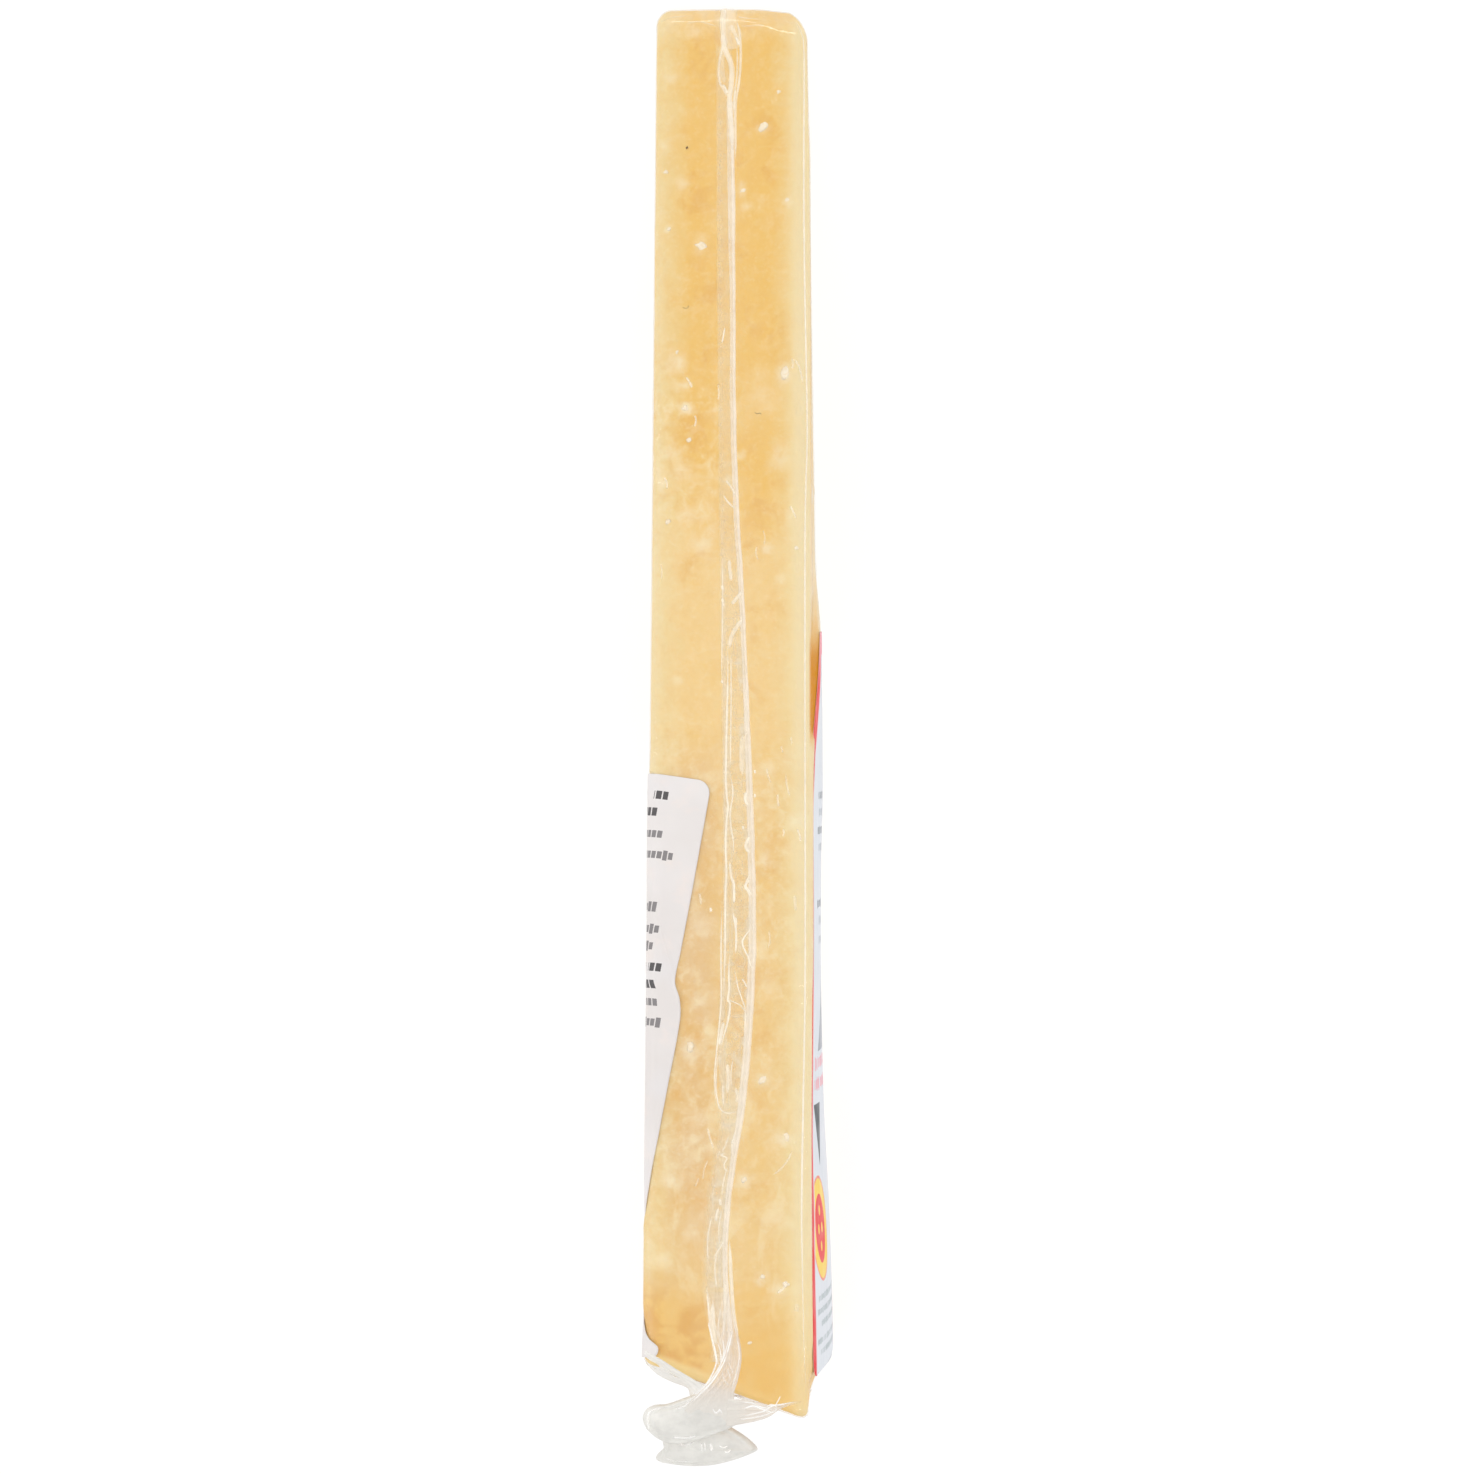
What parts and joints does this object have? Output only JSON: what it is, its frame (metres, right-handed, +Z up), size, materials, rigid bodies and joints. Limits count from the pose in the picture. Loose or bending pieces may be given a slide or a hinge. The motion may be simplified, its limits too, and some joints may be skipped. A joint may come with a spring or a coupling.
{
  "type": "film-wrapped hard cheese wedge",
  "caption": "Slim slab wedge of hard grating cheese in clear shrink film, with a lengthwise fin seal, a gathered film end at the rind and plain paper labels on both flat sides.",
  "frame": {"origin": "middle of the pack's box at the resting face", "axes": "+Z up, away from the radial cut it rests on; +Y along the wedge towards its blunt tip; +X out of the flat side with the front label"},
  "size_m": [0.024, 0.2013, 0.0625],
  "materials": {
    "cheese": "waxy, finely grained straw-yellow hard cheese, deeper golden towards the rind",
    "film": "clear glossy shrink film, milky where it is welded or bunched",
    "front_label": "satin white coated paper with a red border",
    "back_label": "satin white coated paper with plain grey bars for print"
  },
  "bodies": {
    "root": {"wrapped_wedge": "cheese", "front_label": "front_label", "back_label": "back_label"}
  },
  "joints": []
}
